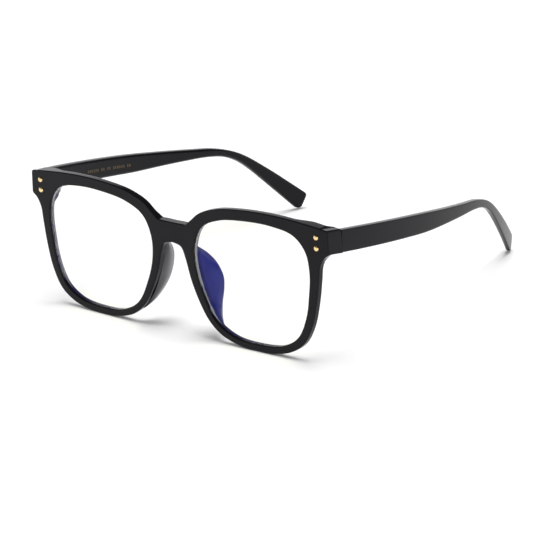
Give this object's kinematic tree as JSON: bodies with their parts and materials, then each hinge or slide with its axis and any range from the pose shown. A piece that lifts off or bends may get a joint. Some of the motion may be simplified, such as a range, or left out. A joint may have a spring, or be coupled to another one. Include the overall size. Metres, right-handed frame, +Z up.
{
  "type": "blue light glasses",
  "caption": "Full-rim square glasses in glossy black acetate with clear coated lenses, moulded nose pads, dome-headed end-piece rivets and folding temples on barrel hinges.",
  "frame": {"origin": "centre of the bounding box's bottom, on the plane that the glasses rest on", "axes": "+X towards the wearer's left, +Y from the front back along the temples, +Z up"},
  "size_m": [0.1486, 0.146, 0.0543],
  "materials": {
    "acetate": "polished black acetate",
    "nose_pad": "polished dark grey acetate",
    "lens": "clear with a faint yellow tint and a blue reflecting coating",
    "gold": "polished gold plate",
    "nickel_silver": "bright nickel silver"
  },
  "bodies": {
    "front": {"front_frame": "acetate", "lens_left": "lens", "lens_right": "lens", "nose_pad_left": "nose_pad", "nose_pad_right": "nose_pad", "front_rivet_upper_left": "gold", "front_rivet_lower_left": "gold", "front_rivet_upper_right": "gold", "front_rivet_lower_right": "gold", "hinge_front_leaf_left": "nickel_silver", "hinge_front_leaf_right": "nickel_silver", "hinge_screw_left": "nickel_silver", "hinge_screw_right": "nickel_silver"},
    "temple_left": {"temple_left": "acetate", "hinge_temple_leaf_left": "nickel_silver", "temple_screw_upper_left": "nickel_silver", "temple_screw_lower_left": "nickel_silver"},
    "temple_right": {"temple_right": "acetate", "hinge_temple_leaf_right": "nickel_silver", "temple_screw_upper_right": "nickel_silver", "temple_screw_lower_right": "nickel_silver"}
  },
  "joints": [
    {"name": "temple_left_fold", "type": "hinge", "parent": "front", "child": "temple_left", "pos_m": [0.067, -0.06306, 0.0465], "axis": [0, 0, 1], "range_deg": [0, 85]},
    {"name": "temple_right_fold", "type": "hinge", "parent": "front", "child": "temple_right", "pos_m": [-0.067, -0.06306, 0.0465], "axis": [0, 0, -1], "range_deg": [0, 80]}
  ]
}
